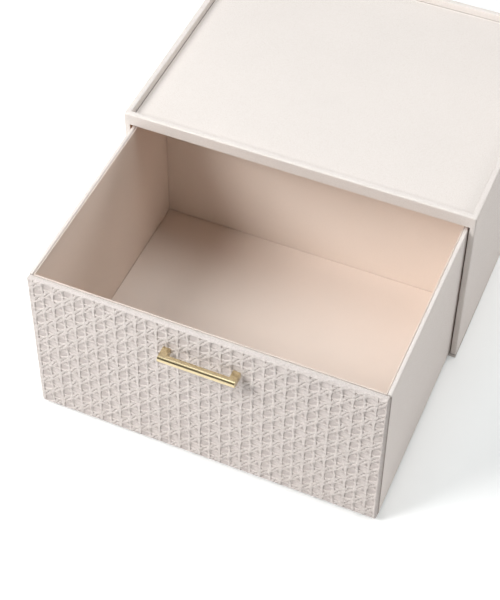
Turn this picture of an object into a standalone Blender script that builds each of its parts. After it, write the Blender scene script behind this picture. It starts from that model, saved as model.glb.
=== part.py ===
# Stacking drawer box: a case open at its front, with a raised rim round its top,
# and a drawer that slides out of it on the case's floor. Case and drawer are
# stiff boards with a glued skin, and the drawer has a thin lining and a bar handle.
# Metres, with +X to the box's right, +Y to its back and +Z up. The origin is the
# centre of the case's underside. The drawer stands part way out.

from math import radians

import bmesh
import bpy
from mathutils import Matrix, Vector

# Case, outside
CASE_WIDTH = 0.340
CASE_DEPTH = 0.280
CASE_HEIGHT = 0.190
TRAY_DEPTH = 0.0073
CASE_EDGE_RADIUS = 0.0015

# Case, boards and skins
GLUE_GAP = 0.0003
WALL_CORE = 0.0035
TOP_CORE = 0.0040
CASE_SKIN = 0.0007
BASE_CORE = 0.0026
BASE_SKIN = 0.0006
BASE_EDGE_RADIUS = 0.0008

# Drawer, how it fits the case and how far it stands out
SIDE_CLEARANCE = 0.00075
TOP_CLEARANCE = 0.0034
BACK_CLEARANCE = 0.0033
FLOOR_CLEARANCE = 0.0003
EXTENSION = 0.203

# Drawer, boards, skins and lining
SIDE_CORE = 0.0023
DRAWER_SKIN = 0.0005
DRAWER_EDGE_RADIUS = 0.0009
BOTTOM_BOARD = 0.0025
LINER = 0.0011
LINER_GAP = 0.00025
LINER_DROP = 0.0004
FLOOR_PAD = 0.0014

# Front panel
PANEL_THICKNESS = 0.006
PANEL_SKIN = 0.0008
PANEL_EDGE_RADIUS = 0.0018

# Handle
SCREW_SPACING = 0.064
LEG_WIDTH = 0.007
BAR_HEIGHT = 0.0065
BAR_DEPTH = 0.006
HANDLE_PROJECTION = 0.013
HANDLE_DROP = 0.032
BAR_FRONT_RADIUS = 0.0026
HANDLE_EDGE_RADIUS = 0.0004
THREAD_LENGTH = 0.0065
HOLE_END_ROOM = 0.0012

# Handle screws
SHANK_RADIUS = 0.002
SCREW_HEAD_RADIUS = 0.0037
SCREW_HEAD_HEIGHT = 0.0019
SCREW_HEAD_ROUNDING = 0.0009
RECESS_LENGTH = 0.0042
RECESS_WIDTH = 0.0010
RECESS_DEPTH = 0.0011
HOLE_CLEARANCE = 0.0003

# Cuts run this far past the faces that they open
OVERRUN = 0.004

ROUND_PROFILE_SHARE = 0.5
EDGE_SEGMENTS = 3
BAR_SEGMENTS = 6
ROUND_STEPS = 24
SHARP_ANGLE = radians(35)
BEVEL_ANGLE = radians(50)

# Colour, roughness and metallic value of each material
LEATHER = ("off_white_leather", (0.76, 0.70, 0.65), 0.62, 0.0)
EMBOSSED = ("embossed_leather", (0.72, 0.66, 0.62), 0.60, 0.0)
GREY_BOARD = ("grey_board", (0.36, 0.33, 0.29), 0.90, 0.0)
LINING = ("beige_lining", (0.66, 0.49, 0.38), 0.85, 0.0)
BRASS = ("satin_brass", (0.72, 0.55, 0.26), 0.30, 1.0)
STEEL = ("zinc_steel", (0.60, 0.60, 0.60), 0.35, 1.0)

# Places worked out from the sizes
CASE_WALL = WALL_CORE + 2 * (GLUE_GAP + CASE_SKIN)
TOP_BOARD = TOP_CORE + 2 * (GLUE_GAP + CASE_SKIN)
BASE_TOP = BASE_CORE + GLUE_GAP + BASE_SKIN
WALL_FOOT = BASE_TOP + GLUE_GAP
TRAY_FLOOR = CASE_HEIGHT - TRAY_DEPTH
OPENING_TOP = TRAY_FLOOR - TOP_BOARD
CASE_FRONT = -CASE_DEPTH / 2
CASE_BACK = CASE_DEPTH / 2
CASE_SIDE = CASE_WIDTH / 2
CAVITY_SIDE = CASE_SIDE - CASE_WALL
DRAWER_SIDE = CAVITY_SIDE - SIDE_CLEARANCE
DRAWER_FOOT = BASE_TOP + FLOOR_CLEARANCE
DRAWER_TOP = OPENING_TOP - TOP_CLEARANCE
DRAWER_LENGTH = CASE_DEPTH - CASE_WALL - BACK_CLEARANCE
SIDE_WALL = SIDE_CORE + 2 * (GLUE_GAP + DRAWER_SKIN)
LINING_TOP = DRAWER_TOP - LINER_DROP
BOTTOM_TOP = DRAWER_FOOT + BOTTOM_BOARD
LINING_FOOT = BOTTOM_TOP + GLUE_GAP
HANDLE_HEIGHT = DRAWER_TOP - HANDLE_DROP
HANDLE_WIDTH = SCREW_SPACING + LEG_WIDTH

SIDES = (("left", -1), ("right", 1))
DOWNWARD = Vector((0, 0, -1))
BACKWARD = Vector((0, 1, 0))


def remove_old_objects():
    for old in list(bpy.data.objects):
        bpy.data.objects.remove(old, do_unlink=True)


def new_collection(name):
    collection = bpy.data.collections.new(name)
    bpy.context.scene.collection.children.link(collection)
    return collection


def new_material(finish):
    name, colour, roughness, metallic = finish
    material = bpy.data.materials.new(name)
    material.use_nodes = True
    shader = material.node_tree.nodes["Principled BSDF"]
    shader.inputs["Base Color"].default_value = (*colour, 1.0)
    shader.inputs["Roughness"].default_value = roughness
    shader.inputs["Metallic"].default_value = metallic
    return material


def span(x, y, z):
    # Two opposite corners of a box, from its low and high value on each axis
    return Vector((x[0], y[0], z[0])), Vector((x[1], y[1], z[1]))


def grown(corners, margin):
    reach = Vector((margin, margin, margin))
    return corners[0] - reach, corners[1] + reach


def across(sign, inner, outer):
    # The range from inner to outer on the left or the right of the middle
    return min(sign * inner, sign * outer), max(sign * inner, sign * outer)


def all_but(facing):
    # Chooses every edge of a box but those of its face on one side
    return lambda edge: not all(vertex.co.dot(facing) > 0 for vertex in edge.verts)


def long_front_edges(edge):
    first, second = edge.verts
    return first.co.y < 0 and second.co.y < 0 and first.co.z == second.co.z


def box_mesh(name, size, radius=0.0, chosen=None, segments=EDGE_SEGMENTS):
    # A box about its own centre, with its chosen edges rounded
    shape = bmesh.new()
    bmesh.ops.create_cube(shape, size=1.0, matrix=Matrix.Diagonal((*size, 1.0)))
    if radius > 0:
        bmesh.ops.bevel(
            shape,
            geom=[edge for edge in shape.edges if chosen(edge)],
            offset=radius,
            affect="EDGES",
            segments=segments,
            profile=ROUND_PROFILE_SHARE,
        )
    mesh = bpy.data.meshes.new(name)
    shape.to_mesh(mesh)
    shape.free()
    return mesh


def place(name, mesh, location, collection, parent, material=None):
    piece = bpy.data.objects.new(name, mesh)
    piece.location = location
    piece.parent = parent
    collection.objects.link(piece)
    if material is not None:
        mesh.materials.append(material)
    return piece


def box(name, corners, group, material, radius=0.0, chosen=None, segments=EDGE_SEGMENTS):
    low, high = corners
    mesh = box_mesh(name, high - low, radius, chosen, segments)
    return place(name, mesh, (low + high) / 2, group["pieces"], group["parent"], material)


def as_cutter(piece):
    piece.hide_render = True
    piece.display_type = "WIRE"


def cut_with(piece, cutter):
    boolean = piece.modifiers.new("cut_" + cutter.name, "BOOLEAN")
    boolean.operation = "DIFFERENCE"
    boolean.solver = "EXACT"
    boolean.object = cutter


def cut_box(piece, name, corners, group):
    low, high = corners
    mesh = box_mesh(name, high - low)
    cutter = place(name, mesh, (low + high) / 2, group["cutters"], group["parent"])
    as_cutter(cutter)
    cut_with(piece, cutter)


def cut_hole(piece, name, radius, place_xz, reach_y, group):
    # A round hole along Y through the given place, between two values of y
    shape = bmesh.new()
    bmesh.ops.create_cone(
        shape,
        cap_ends=True,
        segments=ROUND_STEPS,
        radius1=radius,
        radius2=radius,
        depth=reach_y[1] - reach_y[0],
        matrix=Matrix.Rotation(radians(90), 4, "X"),
    )
    mesh = bpy.data.meshes.new(name)
    shape.to_mesh(mesh)
    shape.free()
    middle = Vector((place_xz[0], (reach_y[0] + reach_y[1]) / 2, place_xz[1]))
    cutter = place(name, mesh, middle, group["cutters"], group["parent"])
    as_cutter(cutter)
    cut_with(piece, cutter)


def bevel(piece, radius):
    modifier = piece.modifiers.new("rounded_edges", "BEVEL")
    modifier.width = radius
    modifier.segments = EDGE_SEGMENTS
    modifier.limit_method = "ANGLE"
    modifier.angle_limit = BEVEL_ANGLE


def cavity_of(core, gap, foot):
    # The room in a skin for its core, open below at the given height
    low, high = grown(core, gap)
    low.z = min(low.z, foot)
    return low, high


def build_base(group, materials):
    board = span(
        (-CASE_SIDE + BASE_SKIN + GLUE_GAP, CASE_SIDE - BASE_SKIN - GLUE_GAP),
        (CASE_FRONT + BASE_SKIN + GLUE_GAP, CASE_BACK - BASE_SKIN - GLUE_GAP),
        (0, BASE_CORE),
    )
    box("case_base_board", board, group, materials["grey_board"])
    # The cover's hem stays just off the ground, so the board carries the case
    hem = GLUE_GAP
    outside = span((-CASE_SIDE, CASE_SIDE), (CASE_FRONT, CASE_BACK), (hem, BASE_TOP))
    leather = materials["off_white_leather"]
    cover = box("case_base_cover", outside, group, leather, BASE_EDGE_RADIUS, all_but(DOWNWARD))
    cut_box(cover, "base_room", cavity_of(board, GLUE_GAP, -OVERRUN), group)


def case_cores():
    # Low and high corners of the grey boards in the case's walls, by node name
    inset = CASE_SKIN + GLUE_GAP
    core_top = CASE_HEIGHT - inset
    between_sides = CASE_SIDE - inset - WALL_CORE - GLUE_GAP
    cores = {}
    for side, sign in SIDES:
        cores["case_" + side + "_core"] = span(
            across(sign, CASE_SIDE - inset - WALL_CORE, CASE_SIDE - inset),
            (CASE_FRONT + inset, CASE_BACK - inset),
            (WALL_FOOT, core_top),
        )
    cores["case_back_core"] = span(
        (-between_sides, between_sides),
        (CASE_BACK - inset - WALL_CORE, CASE_BACK - inset),
        (WALL_FOOT, core_top),
    )
    cores["case_rail_core"] = span(
        (-between_sides, between_sides),
        (CASE_FRONT + inset, CASE_FRONT + inset + WALL_CORE),
        (OPENING_TOP + inset, core_top),
    )
    cores["case_top_core"] = span(
        (-between_sides, between_sides),
        (
            CASE_FRONT + inset + WALL_CORE + GLUE_GAP,
            CASE_BACK - inset - WALL_CORE - GLUE_GAP,
        ),
        (OPENING_TOP + inset, TRAY_FLOOR - inset),
    )
    return cores


def build_case_walls(group, materials):
    cores = case_cores()
    for name, corners in cores.items():
        box(name, corners, group, materials["grey_board"])
    outside = span(
        (-CASE_SIDE, CASE_SIDE),
        (CASE_FRONT, CASE_BACK),
        (WALL_FOOT, CASE_HEIGHT),
    )
    leather = materials["off_white_leather"]
    wrap = box("case_wrap", outside, group, leather, CASE_EDGE_RADIUS, all_but(DOWNWARD))
    opening = span(
        (-CAVITY_SIDE, CAVITY_SIDE),
        (CASE_FRONT - OVERRUN, CASE_BACK - CASE_WALL),
        (WALL_FOOT - OVERRUN, OPENING_TOP),
    )
    cut_box(wrap, "drawer_room", opening, group)
    tray = span(
        (-CAVITY_SIDE, CAVITY_SIDE),
        (CASE_FRONT + CASE_WALL, CASE_BACK - CASE_WALL),
        (TRAY_FLOOR, CASE_HEIGHT + OVERRUN),
    )
    cut_box(wrap, "tray_room", tray, group)
    for name, corners in cores.items():
        stands_on_base = corners[0].z == WALL_FOOT
        foot = WALL_FOOT - OVERRUN if stands_on_base else corners[0].z
        cut_box(wrap, name + "_room", cavity_of(corners, GLUE_GAP, foot), group)


def drawer_cores():
    # In the drawer's own frame, with y running back from the panel's front face
    inset = DRAWER_SKIN + GLUE_GAP
    walls_start = PANEL_THICKNESS + GLUE_GAP
    core_top = DRAWER_TOP - inset
    back_side = DRAWER_SIDE - inset - SIDE_CORE - GLUE_GAP
    cores = {}
    for side, sign in SIDES:
        cores["drawer_" + side + "_core"] = span(
            across(sign, DRAWER_SIDE - inset - SIDE_CORE, DRAWER_SIDE - inset),
            (walls_start + inset, DRAWER_LENGTH - inset),
            (DRAWER_FOOT, core_top),
        )
    cores["drawer_back_core"] = span(
        (-back_side, back_side),
        (DRAWER_LENGTH - inset - SIDE_CORE, DRAWER_LENGTH - inset),
        (DRAWER_FOOT, core_top),
    )
    return cores


def build_drawer_walls(group, materials):
    cores = drawer_cores()
    for name, corners in cores.items():
        box(name, corners, group, materials["grey_board"])
    walls_start = PANEL_THICKNESS + GLUE_GAP
    outside = span(
        (-DRAWER_SIDE, DRAWER_SIDE),
        (walls_start, DRAWER_LENGTH),
        (DRAWER_FOOT, DRAWER_TOP),
    )
    leather = materials["off_white_leather"]
    wrap = box("drawer_wrap", outside, group, leather, DRAWER_EDGE_RADIUS, all_but(DOWNWARD))
    inside = span(
        (-DRAWER_SIDE + SIDE_WALL, DRAWER_SIDE - SIDE_WALL),
        (walls_start - OVERRUN, DRAWER_LENGTH - SIDE_WALL),
        (DRAWER_FOOT - OVERRUN, DRAWER_TOP + OVERRUN),
    )
    cut_box(wrap, "drawer_inside", inside, group)
    for name, corners in cores.items():
        room = cavity_of(corners, GLUE_GAP, DRAWER_FOOT - OVERRUN)
        cut_box(wrap, name + "_room", room, group)


def build_lining(group, materials):
    wall_inside = DRAWER_SIDE - SIDE_WALL
    bottom = span(
        (-wall_inside + GLUE_GAP, wall_inside - GLUE_GAP),
        (PANEL_THICKNESS + GLUE_GAP, DRAWER_LENGTH - SIDE_WALL - GLUE_GAP),
        (DRAWER_FOOT, BOTTOM_TOP),
    )
    box("drawer_bottom_board", bottom, group, materials["grey_board"])
    liner_side = wall_inside - LINER_GAP
    front_face = PANEL_THICKNESS + LINER_GAP + LINER
    back_face = DRAWER_LENGTH - SIDE_WALL - LINER_GAP - LINER
    heights = (LINING_FOOT, LINING_TOP)
    across_drawer = (-liner_side, liner_side)
    front = span(across_drawer, (front_face - LINER, front_face), heights)
    back = span(across_drawer, (back_face, back_face + LINER), heights)
    box("liner_front", front, group, materials["beige_lining"])
    box("liner_back", back, group, materials["beige_lining"])
    between = (front_face + GLUE_GAP, back_face - GLUE_GAP)
    for side, sign in SIDES:
        corners = span(across(sign, liner_side - LINER, liner_side), between, heights)
        box("liner_" + side, corners, group, materials["beige_lining"])
    pad_side = liner_side - LINER - GLUE_GAP
    pad = span((-pad_side, pad_side), between, (LINING_FOOT, LINING_FOOT + FLOOR_PAD))
    box("floor_pad", pad, group, materials["beige_lining"])


def build_front_panel(group, materials):
    inset = PANEL_SKIN + GLUE_GAP
    core = span(
        (-DRAWER_SIDE + inset, DRAWER_SIDE - inset),
        (inset, PANEL_THICKNESS),
        (DRAWER_FOOT + inset, DRAWER_TOP - inset),
    )
    board = box("front_panel_board", core, group, materials["grey_board"])
    outside = span(
        (-DRAWER_SIDE, DRAWER_SIDE),
        (0, PANEL_THICKNESS),
        (DRAWER_FOOT, DRAWER_TOP),
    )
    leather = materials["embossed_leather"]
    cover = box("front_panel_cover", outside, group, leather, PANEL_EDGE_RADIUS, all_but(BACKWARD))
    low, high = grown(core, GLUE_GAP)
    high.y = PANEL_THICKNESS + OVERRUN
    cut_box(cover, "panel_board_room", (low, high), group)
    head_room = SCREW_HEAD_HEIGHT + HOLE_CLEARANCE
    for side, sign in SIDES:
        hole_place = (sign * SCREW_SPACING / 2, HANDLE_HEIGHT)
        shank_hole = SHANK_RADIUS + HOLE_CLEARANCE
        through = (-OVERRUN, PANEL_THICKNESS + OVERRUN)
        cut_hole(cover, "cover_hole_" + side, shank_hole, hole_place, through, group)
        cut_hole(board, "board_hole_" + side, shank_hole, hole_place, through, group)
        head_hole = SCREW_HEAD_RADIUS + HOLE_CLEARANCE
        sunk = (PANEL_THICKNESS - head_room, PANEL_THICKNESS + OVERRUN)
        cut_hole(board, "head_recess_" + side, head_hole, hole_place, sunk, group)


def build_handle(group, materials):
    foot = -GLUE_GAP
    outside = span(
        (-HANDLE_WIDTH / 2, HANDLE_WIDTH / 2),
        (foot - HANDLE_PROJECTION, foot),
        (HANDLE_HEIGHT - BAR_HEIGHT / 2, HANDLE_HEIGHT + BAR_HEIGHT / 2),
    )
    brass = materials["satin_brass"]
    front = (BAR_FRONT_RADIUS, long_front_edges, BAR_SEGMENTS)
    bar = box("handle_bar", outside, group, brass, *front)
    finger_side = HANDLE_WIDTH / 2 - LEG_WIDTH
    finger_gap = span(
        (-finger_side, finger_side),
        (foot - HANDLE_PROJECTION + BAR_DEPTH, foot + OVERRUN),
        (HANDLE_HEIGHT - BAR_HEIGHT, HANDLE_HEIGHT + BAR_HEIGHT),
    )
    cut_box(bar, "finger_gap", finger_gap, group)
    bevel(bar, HANDLE_EDGE_RADIUS)
    for side, sign in SIDES:
        hole_place = (sign * SCREW_SPACING / 2, HANDLE_HEIGHT)
        blind = (foot - THREAD_LENGTH - HOLE_END_ROOM, foot + OVERRUN)
        radius = SHANK_RADIUS + HOLE_CLEARANCE
        cut_hole(bar, "leg_hole_" + side, radius, hole_place, blind, group)
    shade_round(bar)


def shade_round(piece):
    piece.data.shade_smooth()
    piece.data.set_sharp_from_angle(angle=SHARP_ANGLE)


def screw_mesh(name, shank_length):
    # Half section from the head's crown down the outer side to the tip, on the Z axis
    crown = SCREW_HEAD_RADIUS - SCREW_HEAD_ROUNDING
    shoulder = SCREW_HEAD_HEIGHT - SCREW_HEAD_ROUNDING
    tip_bevel = SHANK_RADIUS / 2
    outline = (
        (0, SCREW_HEAD_HEIGHT),
        (crown, SCREW_HEAD_HEIGHT),
        (SCREW_HEAD_RADIUS, shoulder),
        (SCREW_HEAD_RADIUS, 0),
        (SHANK_RADIUS, 0),
        (SHANK_RADIUS, tip_bevel - shank_length),
        (SHANK_RADIUS - tip_bevel, -shank_length),
        (0, -shank_length),
    )
    shape = bmesh.new()
    points = [shape.verts.new((radius, 0, height)) for radius, height in outline]
    for upper, lower in zip(points, points[1:]):
        shape.edges.new((upper, lower))
    mesh = bpy.data.meshes.new(name)
    shape.to_mesh(mesh)
    shape.free()
    return mesh


def build_screws(group, materials):
    # The heads sit in the board's back, and the shanks reach into the handle's legs
    head_seat = PANEL_THICKNESS - SCREW_HEAD_HEIGHT
    shank_length = head_seat + GLUE_GAP + THREAD_LENGTH
    for side, sign in SIDES:
        name = "handle_screw_" + side
        spot = Vector((sign * SCREW_SPACING / 2, head_seat, HANDLE_HEIGHT))
        mesh = screw_mesh(name, shank_length)
        screw = place(
            name, mesh, spot, group["pieces"], group["parent"], materials["zinc_steel"]
        )
        screw.rotation_euler.x = radians(-90)
        turn = screw.modifiers.new("turned", "SCREW")
        turn.steps = ROUND_STEPS
        turn.render_steps = ROUND_STEPS
        turn.use_merge_vertices = True
        turn.merge_threshold = 0.00001
        turn.use_smooth_shade = False
        for number, (width, height) in enumerate(
            ((RECESS_LENGTH, RECESS_WIDTH), (RECESS_WIDTH, RECESS_LENGTH))
        ):
            slot = span(
                (spot.x - width / 2, spot.x + width / 2),
                (PANEL_THICKNESS - RECESS_DEPTH, PANEL_THICKNESS + OVERRUN),
                (spot.z - height / 2, spot.z + height / 2),
            )
            cut_box(screw, "cross_" + side + "_" + str(number), slot, group)


def main():
    remove_old_objects()
    pieces = new_collection("stacking_drawer_box")
    cutters = new_collection("cutters")
    finishes = (LEATHER, EMBOSSED, GREY_BOARD, LINING, BRASS, STEEL)
    materials = {finish[0]: new_material(finish) for finish in finishes}

    case = {"pieces": pieces, "cutters": cutters, "parent": None}
    build_base(case, materials)
    build_case_walls(case, materials)

    # The drawer's frame slides along Y, and stands at the panel's front face
    slide = bpy.data.objects.new("drawer_slide", None)
    slide.location = (0, CASE_FRONT - EXTENSION, 0)
    pieces.objects.link(slide)
    drawer = {"pieces": pieces, "cutters": cutters, "parent": slide}
    build_drawer_walls(drawer, materials)
    build_lining(drawer, materials)
    build_front_panel(drawer, materials)
    build_handle(drawer, materials)
    build_screws(drawer, materials)
    bpy.context.view_layer.update()


main()
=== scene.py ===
import math

import bmesh
import bpy
from mathutils import Matrix, Vector


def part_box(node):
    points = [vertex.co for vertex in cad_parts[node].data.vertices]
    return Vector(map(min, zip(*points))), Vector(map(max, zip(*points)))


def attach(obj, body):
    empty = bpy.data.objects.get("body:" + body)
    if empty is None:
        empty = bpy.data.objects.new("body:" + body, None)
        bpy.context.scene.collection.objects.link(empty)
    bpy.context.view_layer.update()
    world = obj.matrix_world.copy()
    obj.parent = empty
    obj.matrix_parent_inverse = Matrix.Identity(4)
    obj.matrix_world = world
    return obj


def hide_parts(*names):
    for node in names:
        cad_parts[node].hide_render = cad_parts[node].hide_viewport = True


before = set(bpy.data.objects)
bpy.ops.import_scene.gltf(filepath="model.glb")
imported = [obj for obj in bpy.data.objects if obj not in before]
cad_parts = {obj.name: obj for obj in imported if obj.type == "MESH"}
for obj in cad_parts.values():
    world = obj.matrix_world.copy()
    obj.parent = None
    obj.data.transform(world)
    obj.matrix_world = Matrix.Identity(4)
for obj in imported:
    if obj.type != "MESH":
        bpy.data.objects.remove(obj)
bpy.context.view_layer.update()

print("frame loaded")


# small helpers for the mesh work

tiny = 1e-5  # places closer than this count as one


def near(first, second):
    return abs(first - second) < tiny


def addBox(bm, low, high):
    made = bmesh.ops.create_cube(bm, size=1.0)
    bmesh.ops.scale(bm, vec=Vector(high) - Vector(low), verts=made["verts"])
    bmesh.ops.translate(bm, vec=(Vector(high) + Vector(low)) / 2, verts=made["verts"])


def cutAcross(bm, axis, value):
    place, facing = Vector((0, 0, 0)), Vector((0, 0, 0))
    place[axis], facing[axis] = value, 1
    everything = bm.verts[:] + bm.edges[:] + bm.faces[:]
    bmesh.ops.bisect_plane(bm, geom=everything, dist=1e-6, plane_co=place, plane_no=facing)


def facesWhere(bm, test):
    return [face for face in bm.faces if test(face.calc_center_median(), face.normal)]


def edgesWhere(bm, test):
    return [edge for edge in bm.edges if all(test(vert.co) for vert in edge.verts)]


def pushFaces(bm, faces, offset):
    made = bmesh.ops.extrude_face_region(bm, geom=faces)
    moved = [part for part in made["geom"] if isinstance(part, bmesh.types.BMVert)]
    bmesh.ops.translate(bm, vec=offset, verts=moved)
    bmesh.ops.delete(bm, geom=faces, context="FACES_ONLY")
    return [part for part in made["geom"] if isinstance(part, bmesh.types.BMFace)]


def roundEdges(bm, edges, width, steps):
    bmesh.ops.bevel(
        bm, geom=edges, offset=width, offset_type="OFFSET", segments=steps,
        profile=0.5, affect="EDGES", clamp_overlap=True, material=-1)


def markVerts(bm, name, test):
    # an attribute that a material reads: 1 where the test holds, 0 elsewhere
    layer = bm.verts.layers.float.new(name)
    for vert in bm.verts:
        vert[layer] = 1.0 if test(vert.co) else 0.0


def dropFaces(bm, faces):
    bmesh.ops.delete(bm, geom=faces, context="FACES")
    bmesh.ops.remove_doubles(bm, verts=bm.verts[:], dist=1e-6)


def finishPiece(shape, bm, material, weighted=True):
    loose = [edge for edge in bm.edges if not edge.is_manifold]
    mesh = bpy.data.meshes.new(shape["name"])
    bm.to_mesh(mesh)
    bm.free()
    mesh.shade_smooth()
    piece = bpy.data.objects.new(shape["name"], mesh)
    bpy.context.scene.collection.objects.link(piece)
    mesh.materials.append(material)
    if weighted:  # keeps the broad faces flat beside their rounded edges
        piece.modifiers.new("flatFaces", "WEIGHTED_NORMAL").keep_sharp = True
    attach(piece, shape["body"])
    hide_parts(*shape["replaces"])
    print(shape["name"], "has", len(mesh.polygons), "faces and", len(loose), "open edges")
    return piece


# camera, at the photograph's angle

cameraView = {
    "place": (0.35952, -1.1036, 1.19474),
    "turn": (0.76796, 0.0, 0.41266),
    "lens": 96.46,
    "shift": (0.03214, -0.15),
    "clip": (0.05, 50.0),
}


def makeCamera(view):
    data = bpy.data.cameras.new("photoCamera")
    data.lens = view["lens"]
    data.shift_x, data.shift_y = view["shift"]
    data.clip_start, data.clip_end = view["clip"]
    camera = bpy.data.objects.new("photoCamera", data)
    camera.location = view["place"]
    camera.rotation_euler = view["turn"]
    bpy.context.scene.collection.objects.link(camera)
    bpy.context.scene.camera = camera


makeCamera(cameraView)


# node helpers

def addNode(tree, kind, settings=None, **values):
    node = tree.nodes.new(kind)
    for key, value in (settings or {}).items():
        setattr(node, key, value)
    for key, value in values.items():
        node.inputs[key.replace("_", " ")].default_value = value
    return node


def startGroup(name, numbers, colours, results):
    tree = bpy.data.node_groups.new(name, "ShaderNodeTree")
    for title, value in numbers.items():
        socket = tree.interface.new_socket(title, in_out="INPUT", socket_type="NodeSocketFloat")
        socket.default_value = value
    for title, value in colours.items():
        socket = tree.interface.new_socket(title, in_out="INPUT", socket_type="NodeSocketColor")
        socket.default_value = value
    for title, kind in results.items():
        tree.interface.new_socket(title, in_out="OUTPUT", socket_type=kind)
    return tree, tree.nodes.new("NodeGroupInput"), tree.nodes.new("NodeGroupOutput")


def paint(red, green, blue):
    # a colour written as the eye sees it, turned into Blender's own linear values
    linear = [(part / 255 / 12.92) if part <= 10 else ((part / 255 + 0.055) / 1.055) ** 2.4
              for part in (red, green, blue)]
    return (*linear, 1.0)


def startMaterial(name, **values):
    material = bpy.data.materials.new(name)
    material.use_nodes = True
    tree = material.node_tree
    shader = tree.nodes["Principled BSDF"]
    for key, value in values.items():
        shader.inputs[key.replace("_", " ")].default_value = value
    return material, tree, shader


def addGroup(tree, group, **values):
    node = tree.nodes.new("ShaderNodeGroup")
    node.node_tree = group
    for key, value in values.items():
        node.inputs[key.replace("_", " ")].default_value = value
    return node


def addBump(tree, shader, height, strength, distance):
    bump = addNode(tree, "ShaderNodeBump", Strength=strength, Distance=distance)
    tree.links.new(height, bump.inputs["Height"])
    tree.links.new(bump.outputs["Normal"], shader.inputs["Normal"])


# effects shared by several materials

noiseMiddle = {"From_Min": 0.3, "From_Max": 0.7}  # where most of a noise's values lie


def makeCloudyTone():
    # slow drift of tone, as dye and handling leave it
    tree, given, result = startGroup(
        "cloudyTone", {"Scale": 20.0, "Amount": 0.05}, {"Colour": paint(200, 200, 200)},
        {"Colour": "NodeSocketColor"})
    place = tree.nodes.new("ShaderNodeTexCoord")
    noise = addNode(tree, "ShaderNodeTexNoise", Detail=3.0, Roughness=0.55)
    spread = addNode(tree, "ShaderNodeMapRange", **noiseMiddle, To_Min=-1.0, To_Max=1.0)
    amount = addNode(tree, "ShaderNodeMath", {"operation": "MULTIPLY_ADD"})
    amount.inputs[2].default_value = 1.0
    scaled = addNode(tree, "ShaderNodeVectorMath", {"operation": "SCALE"})
    tree.links.new(place.outputs["Object"], noise.inputs["Vector"])
    tree.links.new(given.outputs["Scale"], noise.inputs["Scale"])
    tree.links.new(noise.outputs["Fac"], spread.inputs["Value"])
    tree.links.new(spread.outputs["Result"], amount.inputs[0])
    tree.links.new(given.outputs["Amount"], amount.inputs[1])
    tree.links.new(given.outputs["Colour"], scaled.inputs[0])
    tree.links.new(amount.outputs["Value"], scaled.inputs["Scale"])
    tree.links.new(scaled.outputs["Vector"], result.inputs["Colour"])
    return tree


grainPattern = {
    "warpScale": 700.0,
    "warpReach": 0.0006,
    "pebbleEdge": 0.22,         # how much of a pebble is its rounded edge
    "poreScale": 4200.0,
    "poreHeight": 0.35,
    "pebbleShine": -0.08,       # pebble tops are worn smoother than the creases
}


def makeLeatherGrain(pattern):
    # small pebbles between fine creases, with pores on them
    tree, given, result = startGroup(
        "leatherGrain", {"Scale": 1300.0, "Roughness": 0.6},
        {"Colour": paint(225, 217, 211), "Crease Colour": paint(200, 190, 182)},
        {"Colour": "NodeSocketColor", "Roughness": "NodeSocketFloat", "Height": "NodeSocketFloat"})
    place = tree.nodes.new("ShaderNodeTexCoord")
    warp = addNode(tree, "ShaderNodeTexNoise", Scale=pattern["warpScale"], Detail=2.0)
    bend = addNode(tree, "ShaderNodeVectorMath", {"operation": "MULTIPLY_ADD"})
    bend.inputs[1].default_value = [pattern["warpReach"]] * 3
    cells = addNode(tree, "ShaderNodeTexVoronoi", {"feature": "DISTANCE_TO_EDGE"})
    pebble = addNode(tree, "ShaderNodeMapRange", {"interpolation_type": "SMOOTHSTEP"},
                     From_Max=pattern["pebbleEdge"])
    pores = addNode(tree, "ShaderNodeTexNoise", Scale=pattern["poreScale"], Detail=2.0)
    height = addNode(tree, "ShaderNodeMath", {"operation": "MULTIPLY_ADD"})
    height.inputs[1].default_value = pattern["poreHeight"]
    tone = addNode(tree, "ShaderNodeMix", {"data_type": "RGBA"})
    shine = addNode(tree, "ShaderNodeMath", {"operation": "MULTIPLY_ADD"})
    shine.inputs[1].default_value = pattern["pebbleShine"]
    tree.links.new(place.outputs["Object"], warp.inputs["Vector"])
    tree.links.new(warp.outputs["Color"], bend.inputs[0])
    tree.links.new(place.outputs["Object"], bend.inputs[2])
    tree.links.new(bend.outputs["Vector"], cells.inputs["Vector"])
    tree.links.new(given.outputs["Scale"], cells.inputs["Scale"])
    tree.links.new(cells.outputs["Distance"], pebble.inputs["Value"])
    tree.links.new(place.outputs["Object"], pores.inputs["Vector"])
    tree.links.new(pores.outputs["Fac"], height.inputs[0])
    tree.links.new(pebble.outputs["Result"], height.inputs[2])
    tree.links.new(pebble.outputs["Result"], tone.inputs["Factor"])
    tree.links.new(given.outputs["Crease Colour"], tone.inputs["A"])
    tree.links.new(given.outputs["Colour"], tone.inputs["B"])
    tree.links.new(pebble.outputs["Result"], shine.inputs[0])
    tree.links.new(given.outputs["Roughness"], shine.inputs[2])
    tree.links.new(tone.outputs["Result"], result.inputs["Colour"])
    tree.links.new(shine.outputs["Value"], result.inputs["Roughness"])
    tree.links.new(height.outputs["Value"], result.inputs["Height"])
    return tree


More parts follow.
